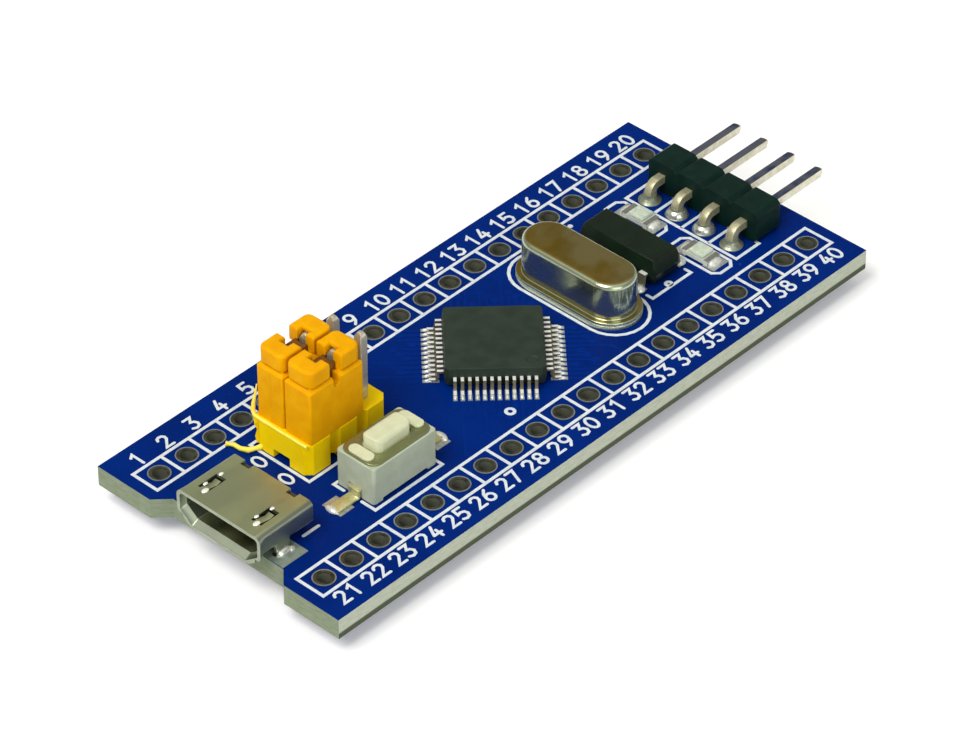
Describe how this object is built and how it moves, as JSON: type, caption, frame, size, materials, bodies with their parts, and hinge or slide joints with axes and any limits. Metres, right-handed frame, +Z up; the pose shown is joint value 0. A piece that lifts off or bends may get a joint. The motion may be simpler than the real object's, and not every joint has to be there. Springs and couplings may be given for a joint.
{
  "type": "microcontroller development board",
  "caption": "Narrow blue microcontroller board with header hole rows, USB socket, boot jumper caps on pins, reset button, crystals and a right-angle debug header.",
  "frame": {"origin": "centre of the two rows of header holes, on the underside of the board", "axes": "+X along the board from the USB socket to the debug header, +Y across it to the far row, +Z up out of the component side"},
  "size_m": [0.0566, 0.0222, 0.0115],
  "materials": {
    "solder_mask": "glossy blue solder mask over glass-fibre laminate",
    "tinned_copper": "dull tinned copper",
    "solder": "bright solder",
    "usb_steel": "brushed stamped sheet",
    "usb_black_plastic": "moulded",
    "gold_contact": "gold flash",
    "package_resin": "satin moulded resin",
    "tinned_lead": "matt tin",
    "can_nickel": "bright nickel plate",
    "seal_glass": "fused",
    "spring_steel": "rolled",
    "quartz": "polished",
    "watch_resin": "smooth moulded resin",
    "header_black": "moulded",
    "pin_tin": "drawn and plated wire",
    "header_yellow": "moulded",
    "jumper_orange": "moulded",
    "switch_grey": "moulded",
    "switch_cover_steel": "stamped, darkened",
    "button_ivory": "moulded",
    "terminal_brass": "tinned brass strip",
    "led_white": "white laminate",
    "led_resin": "milky resin",
    "chip_end_tin": "tinned",
    "capacitor_ceramic": "fired",
    "resistor_ceramic": "glazed"
  },
  "bodies": {
    "board": {"board": "solder_mask", "header_pads": "tinned_copper", "through_pads": "tinned_copper", "chip_pads": "tinned_copper", "solder_joints": "solder", "usb_shell": "usb_steel", "usb_insulator": "usb_black_plastic", "usb_contacts": "gold_contact", "controller_body": "package_resin", "regulator_body": "package_resin", "controller_leads": "tinned_lead", "regulator_leads": "tinned_lead", "watch_crystal_leads": "tinned_lead", "crystal_leads": "tinned_lead", "crystal_can": "can_nickel", "crystal_base": "can_nickel", "crystal_seals": "seal_glass", "crystal_clips": "spring_steel", "reset_dome": "spring_steel", "crystal_blank": "quartz", "watch_crystal_body": "watch_resin", "debug_header_body": "header_black", "debug_header_pins": "pin_tin", "boot_header_pins": "pin_tin", "boot_header_body": "header_yellow", "reset_housing": "switch_grey", "reset_cover": "switch_cover_steel", "reset_rivets": "button_ivory", "reset_terminals": "terminal_brass", "power_led_base": "led_white", "user_led_base": "led_white", "power_led_lens": "led_resin", "user_led_lens": "led_resin", "power_led_terminals": "chip_end_tin", "user_led_terminals": "chip_end_tin", "capacitor_ends": "chip_end_tin", "resistor_ends": "chip_end_tin", "capacitor_bodies": "capacitor_ceramic", "resistor_bodies": "resistor_ceramic"},
    "reset_button": {"reset_plunger": "button_ivory"},
    "boot0_jumper": {"boot0_jumper_cap": "jumper_orange", "boot0_jumper_clip": "spring_steel"},
    "boot1_jumper": {"boot1_jumper_cap": "jumper_orange", "boot1_jumper_clip": "spring_steel"}
  },
  "joints": [
    {"name": "reset_press", "type": "slide", "parent": "board", "child": "reset_button", "axis": [0, 0, -1], "range_m": [0, 0.00025], "stiffness_N_per_m": 6000, "deforming": ["reset_dome"]},
    {"name": "boot0_jumper_pull", "type": "slide", "parent": "board", "child": "boot0_jumper", "axis": [0, 0, 1], "range_m": [0, 0.0065]},
    {"name": "boot1_jumper_pull", "type": "slide", "parent": "board", "child": "boot1_jumper", "axis": [0, 0, 1], "range_m": [0, 0.0065]}
  ]
}
